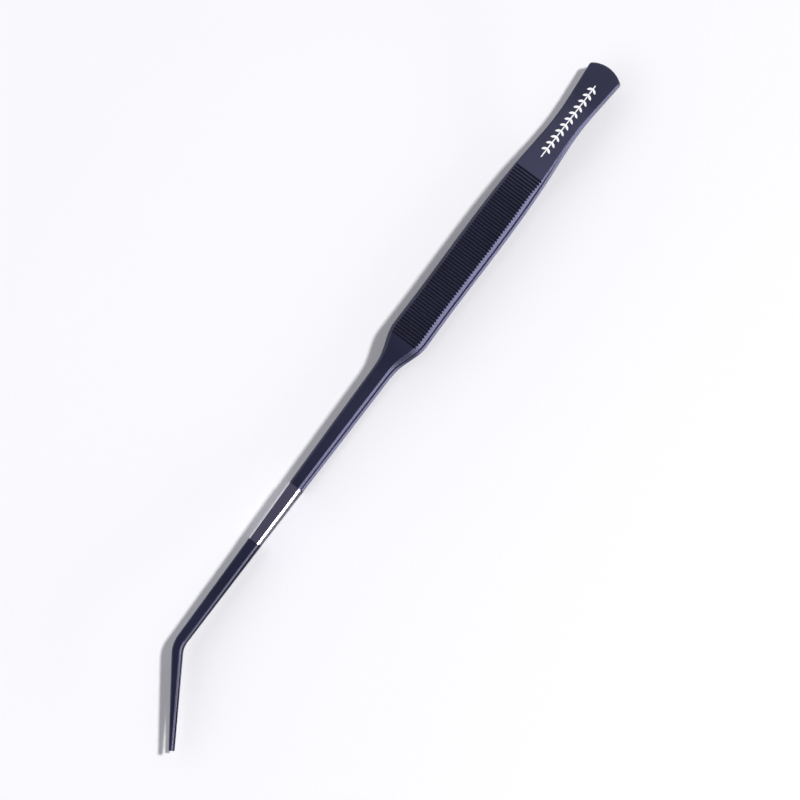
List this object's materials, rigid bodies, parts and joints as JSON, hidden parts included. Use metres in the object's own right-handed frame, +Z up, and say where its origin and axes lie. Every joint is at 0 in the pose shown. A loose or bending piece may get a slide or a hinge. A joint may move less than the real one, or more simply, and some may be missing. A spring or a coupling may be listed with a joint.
{
  "type": "aquascaping tweezers",
  "caption": "Long slim tweezers for planting aquariums: sprung coated arms joined at the tail, a grooved handle, polished sleeves and fine tips bent to one side.",
  "frame": {"origin": "on the flat outer face of the lower arm, under the middle of the grooved handle and on the long axis", "axes": "+X from the tail along the arms to the tips, +Y the side the tips bend to, +Z up from the lower arm to the upper arm, the way the arms open"},
  "size_m": [0.2696, 0.0261, 0.017],
  "materials": {
    "coating": "semi-matte near-black coating on stainless steel",
    "polished_steel": "polished bare stainless steel",
    "white_print": "white pad print"
  },
  "bodies": {
    "tail_joint": {"tail_spacer": "coating", "weld_seam": "coating"},
    "upper_side": {"upper_arm": "coating", "upper_sleeve": "polished_steel", "upper_tip": "coating", "print_mark": "white_print"},
    "lower_side": {"lower_arm": "coating", "lower_sleeve": "polished_steel", "lower_tip": "coating"}
  },
  "joints": [
    {"name": "upper_arm_flex", "type": "hinge", "parent": "tail_joint", "child": "upper_side", "pos_m": [-0.07319, 0, 0.0098], "axis": [0, 1, 0], "range_deg": [0, 0.56], "stiffness_Nm_per_rad": 16},
    {"name": "lower_arm_flex", "type": "hinge", "parent": "tail_joint", "child": "lower_side", "pos_m": [-0.07319, 0, 0.0072], "axis": [0, -1, 0], "range_deg": [0, 0.56], "stiffness_Nm_per_rad": 16}
  ]
}
